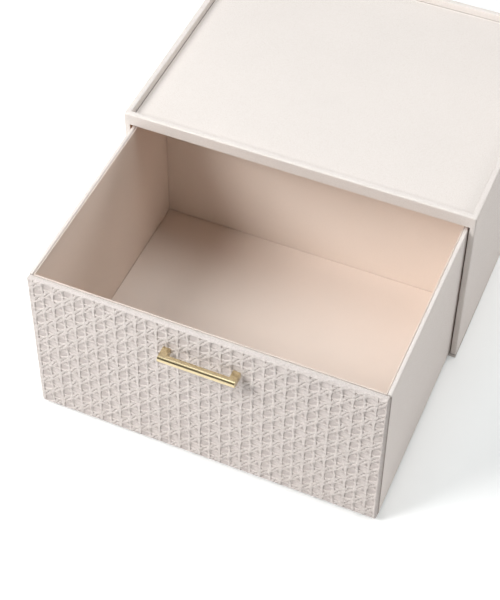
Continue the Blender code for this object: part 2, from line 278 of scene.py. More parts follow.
def makeBrushedLines():
    # long fine scratches along one axis: Stretch is how many times longer they are than wide
    tree, given, result = startGroup(
        "brushedLines", {"Scale": 3000.0, "Stretch": 60.0, "Roughness": 0.3}, {},
        {"Roughness": "NodeSocketFloat", "Height": "NodeSocketFloat"})
    place = tree.nodes.new("ShaderNodeTexCoord")
    parts = tree.nodes.new("ShaderNodeSeparateXYZ")
    along = addNode(tree, "ShaderNodeMath", {"operation": "DIVIDE"})
    joined = tree.nodes.new("ShaderNodeCombineXYZ")
    noise = addNode(tree, "ShaderNodeTexNoise", Detail=3.0)
    rough = addNode(tree, "ShaderNodeMapRange", **noiseMiddle, To_Min=-0.05, To_Max=0.07)
    total = addNode(tree, "ShaderNodeMath", {"operation": "ADD"})
    tree.links.new(place.outputs["Object"], parts.inputs["Vector"])
    tree.links.new(parts.outputs["X"], along.inputs[0])
    tree.links.new(given.outputs["Stretch"], along.inputs[1])
    tree.links.new(along.outputs["Value"], joined.inputs["X"])
    tree.links.new(parts.outputs["Y"], joined.inputs["Y"])
    tree.links.new(parts.outputs["Z"], joined.inputs["Z"])
    tree.links.new(joined.outputs["Vector"], noise.inputs["Vector"])
    tree.links.new(given.outputs["Scale"], noise.inputs["Scale"])
    tree.links.new(noise.outputs["Fac"], rough.inputs["Value"])
    tree.links.new(rough.outputs["Result"], total.inputs[0])
    tree.links.new(given.outputs["Roughness"], total.inputs[1])
    tree.links.new(total.outputs["Value"], result.inputs["Roughness"])
    tree.links.new(noise.outputs["Fac"], result.inputs["Height"])
    return tree


def makeCreaseShade():
    # painted shade: darkens the colour towards the fold colour where the piece carries a crease
    # attribute, in grooves, gaps, seams and along feet
    tree, given, result = startGroup(
        "creaseShade", {"Depth": 0.5},
        {"Colour": paint(200, 200, 200), "Fold Colour": paint(90, 70, 58)},
        {"Colour": "NodeSocketColor"})
    crease = addNode(tree, "ShaderNodeAttribute", {"attribute_name": "crease"})
    taken = addNode(tree, "ShaderNodeMath", {"operation": "MULTIPLY"})
    mixed = addNode(tree, "ShaderNodeMix", {"data_type": "RGBA"})
    tree.links.new(crease.outputs["Fac"], taken.inputs[0])
    tree.links.new(given.outputs["Depth"], taken.inputs[1])
    tree.links.new(taken.outputs["Value"], mixed.inputs["Factor"])
    tree.links.new(given.outputs["Colour"], mixed.inputs["A"])
    tree.links.new(given.outputs["Fold Colour"], mixed.inputs["B"])
    tree.links.new(mixed.outputs["Result"], result.inputs["Colour"])
    return tree


cloudyTone = makeCloudyTone()
leatherGrain = makeLeatherGrain(grainPattern)
brushedLines = makeBrushedLines()
creaseShade = makeCreaseShade()


# finishes

leatherLook = {
    "colour": paint(238, 231, 226),
    "crease": paint(226, 217, 210),
    "inside": paint(184, 128, 88),     # painted shade: hidden inner faces, coloured brown so the gaps beside the drawer look dark
    # painted shade colour for grooves, seams and feet
    "paintedShade": paint(96, 72, 60),
    "creaseDepth": 0.75,
    "grainScale": 1300.0,
    "grainStrength": 0.35,
    "grainDepth": 0.00006,
    "toneScale": 14.0,
    "toneAmount": 0.012,
    "roughness": 0.62,
    "specular": 0.4,
}


def makeLeather(look):
    material, tree, shader = startMaterial(
        "offWhiteLeather", Specular_IOR_Level=look["specular"])
    grain = addGroup(tree, leatherGrain, Scale=look["grainScale"], Roughness=look["roughness"],
                     Colour=look["colour"], Crease_Colour=look["crease"])
    tone = addGroup(tree, cloudyTone, Scale=look["toneScale"], Amount=look["toneAmount"])
    # painted shade: where the inside attribute is set, the colour turns brown
    insideShadeMask = addNode(tree, "ShaderNodeAttribute", {"attribute_name": "inside"})
    shadedInside = addNode(tree, "ShaderNodeMix", {"data_type": "RGBA"}, B=look["inside"])
    shade = addGroup(tree, creaseShade, Depth=look["creaseDepth"], Fold_Colour=look["paintedShade"])
    tree.links.new(grain.outputs["Colour"], tone.inputs["Colour"])
    tree.links.new(insideShadeMask.outputs["Fac"], shadedInside.inputs["Factor"])
    tree.links.new(tone.outputs["Colour"], shadedInside.inputs["A"])
    tree.links.new(shadedInside.outputs["Result"], shade.inputs["Colour"])
    tree.links.new(shade.outputs["Colour"], shader.inputs["Base Color"])
    tree.links.new(grain.outputs["Roughness"], shader.inputs["Roughness"])
    addBump(tree, shader, grain.outputs["Height"], look["grainStrength"], look["grainDepth"])
    return material


embossLook = {
    "colour": paint(220, 211, 206),
    "crease": paint(204, 194, 188),
    # painted shade in the hollows of the pattern
    "hollowShade": paint(197, 187, 182),
    "crestHighlight": paint(231, 223, 218),      # painted highlight on the highest strands
    # painted shade colour for the folds and the side seams
    "paintedShade": paint(110, 88, 76),
    "creaseDepth": 0.65,
    "hollowUpTo": 0.45,         # relief, 0 to 1, where the painted shade of the hollows has faded out
    "crestFrom": 0.86,          # relief where the painted highlight on the crests starts
    "speckScale": 900.0,
    "speckDark": 0.93,
    "speckLight": 1.05,
    "grainScale": 1100.0,
    "grainStrength": 0.4,
    "grainDepth": 0.00007,
    "roughness": 0.54,
    "specular": 0.4,
}


def makeEmbossedLeather(look):
    material, tree, shader = startMaterial(
        "embossedLeather", Specular_IOR_Level=look["specular"])
    grain = addGroup(tree, leatherGrain, Scale=look["grainScale"], Roughness=look["roughness"],
                     Colour=look["colour"], Crease_Colour=look["crease"])
    # painted shade darkens the hollows and a painted highlight lightens the crests, both by relief
    relief = addNode(tree, "ShaderNodeAttribute", {"attribute_name": "relief"})
    rise = addNode(tree, "ShaderNodeMapRange", From_Min=0.0, From_Max=look["hollowUpTo"])
    speck = addNode(tree, "ShaderNodeTexNoise", Scale=look["speckScale"], Detail=2.0)
    place = tree.nodes.new("ShaderNodeTexCoord")
    speckle = addNode(tree, "ShaderNodeMapRange", From_Min=0.35, From_Max=0.65,
                      To_Min=look["speckDark"], To_Max=look["speckLight"])
    floor = addNode(tree, "ShaderNodeMix", {"data_type": "RGBA"}, A=look["hollowShade"])
    high = addNode(tree, "ShaderNodeMapRange", From_Min=look["crestFrom"], From_Max=1.0)
    highlighted = addNode(tree, "ShaderNodeMix", {"data_type": "RGBA"}, B=look["crestHighlight"])
    flecked = addNode(tree, "ShaderNodeVectorMath", {"operation": "SCALE"})
    shade = addGroup(tree, creaseShade, Depth=look["creaseDepth"], Fold_Colour=look["paintedShade"])
    tree.links.new(relief.outputs["Fac"], rise.inputs["Value"])
    tree.links.new(rise.outputs["Result"], floor.inputs["Factor"])
    tree.links.new(grain.outputs["Colour"], floor.inputs["B"])
    tree.links.new(place.outputs["Object"], speck.inputs["Vector"])
    tree.links.new(speck.outputs["Fac"], speckle.inputs["Value"])
    tree.links.new(relief.outputs["Fac"], high.inputs["Value"])
    tree.links.new(high.outputs["Result"], highlighted.inputs["Factor"])
    tree.links.new(floor.outputs["Result"], highlighted.inputs["A"])
    tree.links.new(highlighted.outputs["Result"], flecked.inputs[0])
    tree.links.new(speckle.outputs["Result"], flecked.inputs["Scale"])
    tree.links.new(flecked.outputs["Vector"], shade.inputs["Colour"])
    tree.links.new(shade.outputs["Colour"], shader.inputs["Base Color"])
    tree.links.new(grain.outputs["Roughness"], shader.inputs["Roughness"])
    addBump(tree, shader, grain.outputs["Height"], look["grainStrength"], look["grainDepth"])
    return material


liningLook = {
    "colour": paint(233, 219, 208),
    "napScale": 2600.0,
    "napStrength": 0.3,
    "napDepth": 0.00005,
    "fleckDark": 0.96,
    "fleckLight": 1.03,
    "toneScale": 9.0,
    "toneAmount": 0.02,
    "roughness": 0.85,
    "specular": 0.15,
    "sheen": 0.15,
    "sheenRoughness": 0.5,
}


def makeLining(look):
    # short even nap, so it stays almost plain
    material, tree, shader = startMaterial(
        "beigeLining", Roughness=look["roughness"], Specular_IOR_Level=look["specular"],
        Sheen_Weight=look["sheen"], Sheen_Roughness=look["sheenRoughness"])
    tone = addGroup(tree, cloudyTone, Scale=look["toneScale"], Amount=look["toneAmount"],
                    Colour=look["colour"])
    place = tree.nodes.new("ShaderNodeTexCoord")
    nap = addNode(tree, "ShaderNodeTexNoise", Scale=look["napScale"], Detail=3.0, Roughness=0.7)
    fleck = addNode(tree, "ShaderNodeMapRange", **noiseMiddle,
                    To_Min=look["fleckDark"], To_Max=look["fleckLight"])
    flecked = addNode(tree, "ShaderNodeVectorMath", {"operation": "SCALE"})
    tree.links.new(place.outputs["Object"], nap.inputs["Vector"])
    tree.links.new(nap.outputs["Fac"], fleck.inputs["Value"])
    tree.links.new(tone.outputs["Colour"], flecked.inputs[0])
    tree.links.new(fleck.outputs["Result"], flecked.inputs["Scale"])
    tree.links.new(flecked.outputs["Vector"], shader.inputs["Base Color"])
    addBump(tree, shader, nap.outputs["Fac"], look["napStrength"], look["napDepth"])
    return material


boardLook = {
    "colour": paint(158, 152, 144),
    "fibre": paint(118, 112, 105),
    "fibreScale": 900.0,
    "fibreStrength": 0.3,
    "fibreDepth": 0.0001,
    "toneScale": 60.0,
    "toneAmount": 0.05,
    "roughness": 0.9,
    "specular": 0.2,
}


def makeBoard(look):
    # pressed paper board: pale and dark fibres
    material, tree, shader = startMaterial(
        "greyBoard", Roughness=look["roughness"], Specular_IOR_Level=look["specular"])
    place = tree.nodes.new("ShaderNodeTexCoord")
    fibres = addNode(tree, "ShaderNodeTexVoronoi", {"feature": "F1"}, Scale=look["fibreScale"])
    strands = addNode(tree, "ShaderNodeMapRange", From_Min=0.1, From_Max=0.35)
    tint = addNode(tree, "ShaderNodeMix", {"data_type": "RGBA"}, A=look["fibre"], B=look["colour"])
    tone = addGroup(tree, cloudyTone, Scale=look["toneScale"], Amount=look["toneAmount"])
    tree.links.new(place.outputs["Object"], fibres.inputs["Vector"])
    tree.links.new(fibres.outputs["Distance"], strands.inputs["Value"])
    tree.links.new(strands.outputs["Result"], tint.inputs["Factor"])
    tree.links.new(tint.outputs["Result"], tone.inputs["Colour"])
    tree.links.new(tone.outputs["Colour"], shader.inputs["Base Color"])
    addBump(tree, shader, fibres.outputs["Distance"], look["fibreStrength"], look["fibreDepth"])
    return material


brassLook = {
    "colour": paint(226, 208, 168),
    "roughness": 0.22,
    "stretch": 60.0,            # the bar is brushed along its length
}
steelLook = {
    "colour": paint(190, 192, 194),
    "roughness": 0.35,
    "stretch": 8.0,
}
metalSurface = {
    "toneScale": 120.0,
    "toneAmount": 0.03,
    "lineStrength": 0.15,
    "lineDepth": 0.00003,
}


def makeMetal(name, look, surface):
    material, tree, shader = startMaterial(name, Base_Color=look["colour"], Metallic=1.0)
    lines = addGroup(tree, brushedLines, Stretch=look["stretch"], Roughness=look["roughness"])
    tone = addGroup(tree, cloudyTone, Scale=surface["toneScale"], Amount=surface["toneAmount"],
                    Colour=look["colour"])
    tree.links.new(tone.outputs["Colour"], shader.inputs["Base Color"])
    tree.links.new(lines.outputs["Roughness"], shader.inputs["Roughness"])
    addBump(tree, shader, lines.outputs["Height"], surface["lineStrength"], surface["lineDepth"])
    return material


offWhiteLeather = makeLeather(leatherLook)
embossedLeather = makeEmbossedLeather(embossLook)
beigeLining = makeLining(liningLook)
greyBoard = makeBoard(boardLook)
satinBrass = makeMetal("satinBrass", brassLook, metalSurface)
zincSteel = makeMetal("zincSteel", steelLook, metalSurface)
print("finishes made")


# case: one wrapped body with a tray in its top and an open front

caseShape = {
    "name": "case_body", "body": "case", "slot": "off_white_leather", "replaces": ["case_wrap"],
    "wall": 0.0055,
    "openingTop": 0.1767,
    "trayFloor": 0.1827,
    "grooveWidth": 0.0010,
    "grooveDepth": 0.0007,
    "outerRounding": 0.0015,
    "rimRounding": 0.0010,
    "openingRounding": 0.0011,
    "footRounding": 0.0012,
}


def makeCase(shape):
    low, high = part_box("case_wrap")
    innerX, innerY = high.x - shape["wall"], high.y - shape["wall"]
    bm = bmesh.new()
    addBox(bm, low, high)
    cutAcross(bm, 0, -innerX)
    cutAcross(bm, 0, innerX)
    cutAcross(bm, 1, innerY)
    cutAcross(bm, 2, shape["openingTop"])
    front = facesWhere(bm, lambda at, way: near(at.y, low.y) and abs(at.x) < innerX
                       and at.z < shape["openingTop"])
    pushFaces(bm, front, (0, innerY - low.y, 0))
    dropFaces(bm, facesWhere(bm, lambda at, way: near(at.z, low.z) and abs(at.x) < innerX
                             and at.y < innerY))
    cutAcross(bm, 1, -innerY)
    top = facesWhere(bm, lambda at, way: near(at.z, high.z) and abs(at.x) < innerX
                     and abs(at.y) < innerY)
    floor = pushFaces(bm, top, (0, 0, shape["trayFloor"] - shape["grooveDepth"] - high.z))
    bmesh.ops.inset_region(bm, faces=floor, thickness=shape["grooveWidth"], use_even_offset=True)
    pushFaces(bm, floor, (0, 0, shape["grooveDepth"]))
    cutAcross(bm, 2, shape["trayFloor"])
    outer = edgesWhere(bm, lambda co: near(abs(co.x), high.x) and near(abs(co.y), high.y))
    for axis, edge in ((0, high.x), (1, high.y)):
        for side in (-edge, edge):
            outer += edgesWhere(bm, lambda co: near(co[axis], side) and near(co.z, high.z))
    roundEdges(bm, outer, shape["outerRounding"], 4)
    rim = edgesWhere(bm, lambda co: near(co.z, high.z) and (
        (near(abs(co.x), innerX) and abs(co.y) < innerY + tiny)
        or (near(abs(co.y), innerY) and abs(co.x) < innerX + tiny)))
    roundEdges(bm, rim, shape["rimRounding"], 3)
    opening = edgesWhere(bm, lambda co: near(co.y, low.y) and abs(co.x) < innerX + tiny
                         and co.z < shape["openingTop"] + tiny and (
                             near(abs(co.x), innerX) or near(co.z, shape["openingTop"])))
    roundEdges(bm, opening, shape["openingRounding"], 3)
    foot = []
    for axis, side in ((0, low.x), (0, high.x), (1, high.y)):
        foot += edgesWhere(bm, lambda co: near(co[axis], side) and near(co.z, low.z))
    roundEdges(bm, foot, shape["footRounding"], 3)
    cutAcross(bm, 2, low.z + shape["footRounding"])
    # painted shade: a dark line in the groove round the tray and along the foot
    markVerts(bm, "crease", lambda co: near(co.z, shape["trayFloor"] - shape["grooveDepth"])
              or near(co.z, low.z))
    # painted shade: the inner faces behind the opening turn brown, so the gaps beside the drawer
    # look dark
    markVerts(bm, "inside", lambda co: abs(co.x) < innerX + tiny and co.y < innerY + tiny
              and co.z < shape["openingTop"] + tiny
              and co.y > low.y + shape["openingRounding"] - tiny)
    bmesh.ops.recalc_face_normals(bm, faces=bm.faces[:])
    return finishPiece(shape, bm, offWhiteLeather)


makeCase(caseShape)

baseShape = {
    "name": "base_skin", "body": "case", "slot": "off_white_leather",
    "replaces": ["case_base_cover"],
    "topSkin": 0.0006,
    "sideSkin": 0.00055,
    "rounding": 0.0009,
}


def makeBase(shape):
    low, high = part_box("case_base_cover")
    bm = bmesh.new()
    addBox(bm, low, high)
    under = facesWhere(bm, lambda at, way: near(at.z, low.z))
    bmesh.ops.inset_region(bm, faces=under, thickness=shape["sideSkin"], use_even_offset=True)
    pushFaces(bm, under, (0, 0, high.z - shape["topSkin"] - low.z))
    roundEdges(bm, edgesWhere(bm, lambda co: near(co.z, high.z)), shape["rounding"], 3)
    bmesh.ops.recalc_face_normals(bm, faces=bm.faces[:])
    return finishPiece(shape, bm, offWhiteLeather)


makeBase(baseShape)
print("case made")


# drawer walls

wallShape = {
    "name": "drawer_walls", "body": "drawer", "slot": "off_white_leather",
    "replaces": ["drawer_wrap"],
    "setIn": 0.0003,            # the front panel stands out beside the walls
    "wall": 0.0036,
    "leftGap": 0.0003,          # the lining stands a little off the left wall
    "rounding": 0.0009,
    "endRounding": 0.0004,      # where the walls meet the front panel
    "seam": 0.0016,             # how far the painted shade line of the seam reaches along the walls
    "seamFade": 0.0006,
    "seamBelow": 0.0025,        # how far under the top edge it ends
    "seamBelowFade": 0.001,
    "brownFrom": 0.003,         # the left wall's inner face takes a painted brown shade this far behind the panel
    "sharpFrom": 1.2,           # radians, edges of the plain walls that get rounded
    "endFrom": 0.2,             # radians, edges at the panel's end that get rounded
}


def makeWalls(shape):
    low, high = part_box("drawer_wrap")
    low.x, high.x = low.x + shape["setIn"], high.x - shape["setIn"]
    innerX, innerY = high.x - shape["wall"], high.y - shape["wall"]
    bm = bmesh.new()
    addBox(bm, low, high)
    cutAcross(bm, 0, -innerX)
    cutAcross(bm, 0, innerX)
    cutAcross(bm, 1, innerY)
    front = facesWhere(bm, lambda at, way: near(at.y, low.y) and abs(at.x) < innerX)
    pushFaces(bm, front, (0, innerY - low.y, 0))
    dropFaces(bm, facesWhere(bm, lambda at, way: (near(at.z, low.z) or near(at.z, high.z))
                             and abs(at.x) < innerX and at.y < innerY))
    left = [vert for vert in bm.verts if near(vert.co.x, -innerX) and vert.co.y < innerY - tiny]
    bmesh.ops.translate(bm, vec=(-shape["leftGap"], 0, 0), verts=left)
    sharp = [edge for edge in bm.edges if edge.calc_face_angle(0) > shape["sharpFrom"]
             and not all(abs(vert.co.x) < innerX + tiny and near(vert.co.y, innerY)
                         for vert in edge.verts)]
    ends = [edge for edge in sharp if all(near(vert.co.y, low.y) for vert in edge.verts)]
    roundEdges(bm, [edge for edge in sharp if edge not in ends], shape["rounding"], 3)
    ends = [edge for edge in bm.edges if edge.calc_face_angle(0) > shape["endFrom"]
            and all(near(vert.co.y, low.y) for vert in edge.verts)]
    roundEdges(bm, ends, shape["endRounding"], 2)
    seam, below = low.y + shape["seam"], high.z - shape["seamBelow"]
    for axis, value in ((1, seam), (1, seam + shape["seamFade"]),
                        (2, below), (2, below + shape["seamBelowFade"])):
        cutAcross(bm, axis, value)
    # painted shade: a dark line where the walls meet the panel, and along their foot
    markVerts(bm, "crease", lambda co: (co.y < seam + tiny and co.z < below + tiny)
              or near(co.z, low.z))
    # painted shade: the left wall's inner face turns brown, so the gap beside its lining looks dark
    markVerts(bm, "inside", lambda co: near(co.x, -innerX - shape["leftGap"])
              and co.y < innerY + tiny and low.y + shape["brownFrom"] < co.y
              and co.z < high.z - shape["rounding"] + tiny)
    bmesh.ops.recalc_face_normals(bm, faces=bm.faces[:])
    return finishPiece(shape, bm, offWhiteLeather)


makeWalls(wallShape)

liningBoards = {
    "lining_front": {"node": "liner_front", "rounding": 0.00045},
    "lining_back": {"node": "liner_back", "rounding": 0.00045},
    "lining_left": {"node": "liner_left", "rounding": 0.0003, "off": 0.0001},
    "lining_right": {"node": "liner_right", "rounding": 0.00045},
    "lining_floor": {"node": "floor_pad", "rounding": 0.0005},
}


def makeLiningBoard(name, shape):
    low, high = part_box(shape["node"])
    off = shape.get("off", 0)
    bm = bmesh.new()
    addBox(bm, low + Vector((off, 0, 0)), high)
    roundEdges(bm, bm.edges[:], shape["rounding"], 3)
    whole = {"name": name, "body": "drawer", "slot": "beige_lining", "replaces": [shape["node"]]}
    return finishPiece(whole, bm, beigeLining)


for name, shape in liningBoards.items():
    makeLiningBoard(name, shape)
print("drawer walls and lining made")


# front panel: leather skin pressed with a cane weave

caneWeave = {
    "columnStep": 0.009755,     # from one column of holes to the next
    "rowStep": 0.018742,        # from one hole to the next in a column
    "holeAt": (-0.07714, 0.08379),  # the middle of one hole, across and up
    "turn": -0.011,             # the whole pattern lies a little off level
    # pairs of strands that climb and fall to the right: apart is from a strand to the middle
    # of its pair, dip how far it sinks under the pair it crosses, sway how far it winds
    "rising": {"apart": 0.00168, "half": 0.00160, "flat": 0.48, "height": 0.00072,
               "dip": -0.00025, "sway": 0.00055},
    "falling": {"apart": 0.00165, "half": 0.00109, "flat": 0.12, "height": 0.00047,
                "dip": -0.00021, "sway": -0.00023},
    "foldHeight": 0.00035,      # up to this height the fold between two rising strands gets painted shade
    "foldStrength": 0.35,
    # single strands that stand upright and lie level
    "upright": {"aside": 0.00038, "half": 0.00165, "flat": 0.60, "height": 0.00086},
    "level": {"aside": -0.00023, "half": 0.00085, "flat": 0.0, "height": 0.00097},
}
panelShape = {
    "name": "front_skin", "body": "drawer", "slot": "embossed_leather",
    "replaces": ["front_panel_cover"],
    "frontRounding": 0.0026,
    "backRounding": 0.0012,
    "roundingSteps": 6,
    "fade": 0.7,                # how far round the front edge the pattern still shows
    "edgeLevel": 0.75,          # level of the plain edge, as a part of the full relief
    "capDepth": 0.00104,        # from the panel's face to the flat inner side of the skin
    "crispFrom": 0.3,           # radians, folds steeper than this stay crisp
    "cornerTurns": 24,          # straight cuts that trim the skin's round corners
    "cutReach": 0.012,          # a cut for the rounding only touches faces this near to it
}


def wrapped(value, step):
    return (value + step / 2) % step - step / 2


class CaneField:
    # says how high the pressed pattern stands at a place on the flat skin
    def __init__(self, weave):
        self.weave = weave
        self.pairs = (weave["rising"], weave["falling"])
        stepX, stepY = weave["columnStep"], weave["rowStep"] / 2
        length = math.hypot(stepX, stepY)
        self.pitch = 2 * stepX * stepY / length
        self.normals = (Vector((-stepY, stepX)) / length, Vector((stepY, stepX)) / length)
        self.full = max(pair["height"] + abs(pair["dip"]) for pair in self.pairs)
        self.full = max(self.full, weave["upright"]["height"], weave["level"]["height"])

    def across(self, at, family):
        fromCrossing = Vector((at[0], at[1] - self.weave["rowStep"] / 2))
        return wrapped(fromCrossing.dot(self.normals[family]), self.pitch)

    def profile(self, distance, strand):
        slope = (1 - abs(distance) / strand["half"]) / (1 - strand["flat"])
        return max(0.0, min(1.0, slope)) * strand["height"]

    def height(self, at):
        weave = self.weave
        places = self.across(at, 0), self.across(at, 1)
        heights = []
        for pair, own, other, way in ((self.pairs[0], places[0], places[1], 1),
                                      (self.pairs[1], places[1], places[0], -1)):
            crossed = self.pairs[1] if way == 1 else self.pairs[0]
            part = abs(other) / crossed["apart"]
            wave = math.copysign(part if part < 1 else max(0.0, 2 - part), other)
            sunk = 1 + way * wave * math.copysign(1, own) * pair["dip"] / pair["height"]
            heights.append(self.profile(abs(own) - pair["apart"], pair) * sunk)
        for strand, value, step in (
                (weave["upright"], at[0] - weave["columnStep"] / 2, weave["columnStep"]),
                (weave["level"], at[1] - weave["rowStep"] / 4, weave["rowStep"] / 2)):
            heights.append(self.profile(wrapped(value - strand["aside"], step), strand))
        return max(heights)

    def foldShade(self, at):
        # painted shade in the narrow fold between the two strands of a rising pair
        if abs(self.across(at, 0)) > self.weave["rising"]["apart"] / 2:
            return 0.0
        depth = max(0.0, 1 - self.height(at) / self.weave["foldHeight"])
        return self.weave["foldStrength"] * depth

    def swayed(self, at):
        # where a place of the straight pattern comes to lie when the pairs wind
        start = Vector(at)
        place, turn = start.copy(), 2 * math.pi / self.pitch
        for again in range(4):
            shifts = [self.pairs[family]["sway"] * math.sin(turn * self.across(place, 1 - family))
                      for family in (0, 1)]
            place = start + Vector((
                (shifts[1] - shifts[0]) / (2 * self.normals[1].x),
                (shifts[1] + shifts[0]) / (2 * self.normals[1].y)))
        return place


def cutFlat(bm, at, way, faces=None):
    geometry = bm.verts[:] + bm.edges[:] + bm.faces[:]
    if faces is not None:
        edges = {edge for face in faces for edge in face.edges}
        verts = {vert for face in faces for vert in face.verts}
        geometry = list(faces) + list(edges) + list(verts)
    bmesh.ops.bisect_plane(bm, geom=geometry, dist=1e-7, plane_co=(at[0], at[1], 0),
                           plane_no=(way[0], way[1], 0))


def cutDistances(strand):
    inner = (0,) if strand["flat"] < 0.05 else (-strand["flat"], strand["flat"])
    return [part * strand["half"] for part in (-1, *inner, 1)]


def makeWeaveTile(weave, field):
    # two columns wide and one row high, its edges under single strands
    stepX, stepY = weave["columnStep"], weave["rowStep"]
    bm = bmesh.new()
    made = bmesh.ops.create_grid(bm, x_segments=1, y_segments=1, size=0.5)
    bmesh.ops.scale(bm, vec=(2 * stepX, stepY, 1), verts=made["verts"])
    bmesh.ops.translate(bm, vec=(stepX * 1.5, stepY * 0.75, 0), verts=made["verts"])
    for family, pair in enumerate(field.pairs):
        way = field.normals[family]
        for turn in range(-3, 4):
            for side in (-1, 1):
                for foot in cutDistances(pair):
                    reach = turn * field.pitch + side * max(0.0, pair["apart"] + foot)
                    cutFlat(bm, (way.x * reach, stepY / 2 + way.y * reach), way)
    upright, level = weave["upright"], weave["level"]
    lines = [((stepX * (turn + 0.5) + upright["aside"] + foot, 0), (1, 0))
             for turn in range(0, 3) for foot in cutDistances(upright)]
    lines += [((0, stepY * (turn + 0.5) / 2 + level["aside"] + foot), (0, 1))
              for turn in range(0, 3) for foot in cutDistances(level)]
    for at, way in lines:
        cutFlat(bm, at, way)
    # painted shade in the folds, carried in the crease attribute
    paintedShade = bm.verts.layers.float.new("crease")
    for vert in bm.verts:
        place = field.swayed(vert.co.xy)
        vert[paintedShade] = field.foldShade(vert.co)
        vert.co = (place.x, place.y, field.height(vert.co))
    bmesh.ops.dissolve_limit(
        bm, angle_limit=math.radians(1.5),
        verts=[vert for vert in bm.verts if not vert.is_boundary],
        edges=[edge for edge in bm.edges if not edge.is_boundary])
    return bm


def spreadTile(bm, weave, low, high):
    # copies the tile in rows and columns until it covers the flat skin, then turns the whole
    stepX, stepY = 2 * weave["columnStep"], weave["rowStep"]
    holeX, holeY = weave["holeAt"]
    spare = abs(weave["turn"]) * (high[0] - low[0])
    low, high = (low[0] - spare, low[1] - spare), (high[0] + spare, high[1] + spare)
    shiftX = holeX + math.floor((low[0] - holeX) / stepX - 1) * stepX
    shiftY = holeY + math.floor((low[1] - holeY) / stepY - 1) * stepY
    bmesh.ops.translate(bm, vec=(shiftX, shiftY, 0), verts=bm.verts[:])
    for step, reach in (((stepX, 0, 0), high[0] - shiftX), ((0, stepY, 0), high[1] - shiftY)):
        unit = bm.verts[:] + bm.edges[:] + bm.faces[:]
        for turn in range(1, math.ceil(reach / max(step)) + 1):
            made = bmesh.ops.duplicate(bm, geom=unit)
            moved = [part for part in made["geom"] if isinstance(part, bmesh.types.BMVert)]
            bmesh.ops.translate(bm, vec=Vector(step) * turn, verts=moved)
    bmesh.ops.remove_doubles(bm, verts=bm.verts[:], dist=2e-6)
    bmesh.ops.rotate(bm, cent=(holeX, holeY, 0), matrix=Matrix.Rotation(weave["turn"], 3, "Z"),
                     verts=bm.verts[:])


def foldPath(run, front, back, depth):
    # how far out, how far back and which way the skin faces, after it has run over the edge
    straight = depth - front - back
    frontEnd = front * math.pi / 2
    if run < frontEnd:
        angle = run / front
        return front * math.sin(angle), front * (1 - math.cos(angle)), angle
    if run < frontEnd + straight:
        return front, front + run - frontEnd, math.pi / 2
    angle = min((run - frontEnd - straight) / back, math.pi / 2)
    out, behind = front - back * (1 - math.cos(angle)), depth - back * (1 - math.sin(angle))
    return out, behind, math.pi / 2 + angle


def makeFrontSkin(shape, weave):
    low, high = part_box("front_panel_cover")
    front, back, depth = shape["frontRounding"], shape["backRounding"], high.y - low.y
    field = CaneField(weave)
    total = front * math.pi / 2 + (depth - front - back) + back * math.pi / 2
    flatX, flatLow, flatHigh = high.x - front, low.z + front, high.z - front
    bm = makeWeaveTile(weave, field)
    spreadTile(bm, weave, (-flatX - total, flatLow - total), (flatX + total, flatHigh + total))
    for turn in range(shape["cornerTurns"]):  # trims it to a rectangle with round corners
        angle = turn * 2 * math.pi / shape["cornerTurns"]
        way = Vector((math.cos(angle), math.sin(angle)))
        at = Vector((math.copysign(flatX, way.x), flatHigh if way.y > 0 else flatLow)) + way * total
        bmesh.ops.bisect_plane(bm, geom=bm.verts[:] + bm.edges[:] + bm.faces[:], dist=1e-7,
                               plane_co=(*at, 0), plane_no=(*way, 0), clear_outer=True)
    steps = shape["roundingSteps"]
    frontEnd, backStart = front * math.pi / 2, front * math.pi / 2 + (depth - front - back)
    turns = [frontEnd * part / steps for part in range(steps + 1)]
    turns += [backStart + back * math.pi / 2 * part / steps for part in range(steps)]
    for run in turns:
        for at, way in (((flatX + run, 0), (1, 0)), ((-flatX - run, 0), (1, 0)),
                        ((0, flatHigh + run), (0, 1)), ((0, flatLow - run), (0, 1))):
            across = 0 if way[0] else 1
            zone = [face for face in bm.faces
                    if abs(face.calc_center_bounds()[across] - at[across]) < shape["cutReach"]]
            cutFlat(bm, at, way, zone)
    relief = bm.verts.layers.float.new("relief")
    crease = bm.verts.layers.float["crease"]
    for vert in bm.verts:
        across, up = vert.co.x, vert.co.y
        inside = Vector((max(-flatX, min(flatX, across)), max(flatLow, min(flatHigh, up))))
        over = Vector((across, up)) - inside
        run = min(over.length, total)
        way = over.normalized() if run > 1e-9 else Vector((0, 0))
        pressed = max(0.0, 1 - run / (frontEnd * shape["fade"]))
        vert[crease] *= pressed
        if abs(way.x) > 0.7 and run > frontEnd / 2:  # the upright edges end in a painted shade line at the seam
            vert[crease] = min(1.0, (run - frontEnd / 2) / (backStart - frontEnd / 2))
        level = pressed * vert.co.z + (1 - pressed) * shape["edgeLevel"] * field.full
        vert[relief] = level / field.full
        out, behind, angle = foldPath(run, front, back, depth)
        sink = field.full - level
        out -= sink * math.sin(angle)
        behind += sink * math.cos(angle)
        flat = inside + way * out
        vert.co = (flat.x, low.y + behind, flat.y)
    border = [edge for edge in bm.edges if edge.is_boundary]
    made = bmesh.ops.extrude_edge_only(bm, edges=border)
    moved = [part for part in made["geom"] if isinstance(part, bmesh.types.BMVert)]
    for vert in moved:
        vert.co.y = low.y + shape["capDepth"]
    bmesh.ops.holes_fill(bm, edges=[edge for edge in bm.edges if edge.is_boundary], sides=0)
    for edge in bm.edges:  # pressed leather keeps crisp folds, only the sway bends softly
        if edge.calc_face_angle(0) > shape["crispFrom"]:
            edge.smooth = False
    bmesh.ops.recalc_face_normals(bm, faces=bm.faces[:])
    return finishPiece(shape, bm, embossedLeather, weighted=False)


makeFrontSkin(panelShape, caneWeave)
print("front panel made")


# handle

handleShape = {
    "name": "handle_pull", "body": "drawer", "slot": "satin_brass", "replaces": ["handle_bar"],
    "legWidth": 0.0070,
    "barDepth": 0.0060,
    "pressedIn": 0.0011,        # the feet stand on the floor of the pressed pattern
    "frontRounding": 0.0028,
    "edgeRounding": 0.0004,
    "sharpFrom": 0.6,           # radians, edges that get this rounding
}


